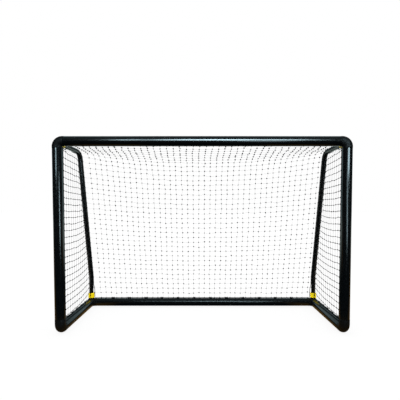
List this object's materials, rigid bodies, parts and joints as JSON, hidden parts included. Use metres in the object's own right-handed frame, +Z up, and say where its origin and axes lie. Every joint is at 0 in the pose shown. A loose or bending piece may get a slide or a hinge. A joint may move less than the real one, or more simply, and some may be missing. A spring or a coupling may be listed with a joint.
{
  "type": "soccer goal",
  "caption": "Freestanding goal of round tubes with moulded corners, bent rear braces locked by sprung push buttons, and a knotted net on hooks.",
  "frame": {"origin": "on the ground, under the middle of the goal's outline", "axes": "+X along the crossbar to the right, seen from the mouth; +Y from the mouth to the back; +Z up"},
  "size_m": [3.0016, 1.0016, 2.0008],
  "materials": {
    "powder_coated_steel": "glossy black powder coat with a green-blue tint",
    "moulded_black": "moulded black plastic, fine grain",
    "moulded_yellow": "moulded bright yellow plastic",
    "button_black": "moulded black plastic",
    "spring_steel": "bright spring steel",
    "net_cord": "knotted black polyethylene twine"
  },
  "bodies": {
    "frame": {"crossbar": "powder_coated_steel", "rear_bar": "powder_coated_steel", "left_post": "powder_coated_steel", "right_post": "powder_coated_steel", "left_side_bar": "powder_coated_steel", "right_side_bar": "powder_coated_steel", "left_brace": "powder_coated_steel", "right_brace": "powder_coated_steel", "left_top_corner": "moulded_black", "right_top_corner": "moulded_black", "left_front_corner": "moulded_black", "right_front_corner": "moulded_black", "left_rear_corner": "moulded_black", "right_rear_corner": "moulded_black", "left_upper_collar": "moulded_yellow", "left_lower_collar": "moulded_yellow", "right_upper_collar": "moulded_yellow", "right_lower_collar": "moulded_yellow", "left_upper_leaf_spring": "spring_steel", "left_lower_leaf_spring": "spring_steel", "right_upper_leaf_spring": "spring_steel", "right_lower_leaf_spring": "spring_steel", "rear_net_hook_01": "moulded_black", "rear_net_hook_02": "moulded_black", "rear_net_hook_03": "moulded_black", "rear_net_hook_04": "moulded_black", "rear_net_hook_05": "moulded_black", "rear_net_hook_06": "moulded_black", "rear_net_hook_07": "moulded_black", "rear_net_hook_08": "moulded_black", "rear_net_hook_09": "moulded_black", "rear_net_hook_10": "moulded_black", "rear_net_hook_11": "moulded_black", "rear_net_hook_12": "moulded_black", "left_net_hook_1": "moulded_black", "left_net_hook_2": "moulded_black", "left_net_hook_3": "moulded_black", "left_net_hook_4": "moulded_black", "left_net_hook_5": "moulded_black", "left_net_hook_6": "moulded_black", "right_net_hook_1": "moulded_black", "right_net_hook_2": "moulded_black", "right_net_hook_3": "moulded_black", "right_net_hook_4": "moulded_black", "right_net_hook_5": "moulded_black", "right_net_hook_6": "moulded_black", "net_back": "net_cord", "net_left": "net_cord", "net_right": "net_cord"},
    "button_left_upper": {"left_upper_button": "button_black", "left_upper_lock_pin": "spring_steel"},
    "button_left_lower": {"left_lower_button": "button_black", "left_lower_lock_pin": "spring_steel"},
    "button_right_upper": {"right_upper_button": "button_black", "right_upper_lock_pin": "spring_steel"},
    "button_right_lower": {"right_lower_button": "button_black", "right_lower_lock_pin": "spring_steel"}
  },
  "joints": [
    {"name": "press_left_upper", "type": "slide", "parent": "frame", "child": "button_left_upper", "axis": [0, 0, -1], "range_m": [-0.002, 0], "stiffness_N_per_m": 900, "springref_m": 0.004, "deforming": ["left_upper_leaf_spring"]},
    {"name": "press_left_lower", "type": "slide", "parent": "frame", "child": "button_left_lower", "axis": [0, -1, 0], "range_m": [-0.002, 0], "stiffness_N_per_m": 900, "springref_m": 0.004, "deforming": ["left_lower_leaf_spring"]},
    {"name": "press_right_upper", "type": "slide", "parent": "frame", "child": "button_right_upper", "axis": [0, 0, -1], "range_m": [-0.002, 0], "stiffness_N_per_m": 900, "springref_m": 0.004, "deforming": ["right_upper_leaf_spring"]},
    {"name": "press_right_lower", "type": "slide", "parent": "frame", "child": "button_right_lower", "axis": [0, -1, 0], "range_m": [-0.002, 0], "stiffness_N_per_m": 900, "springref_m": 0.004, "deforming": ["right_lower_leaf_spring"]}
  ]
}
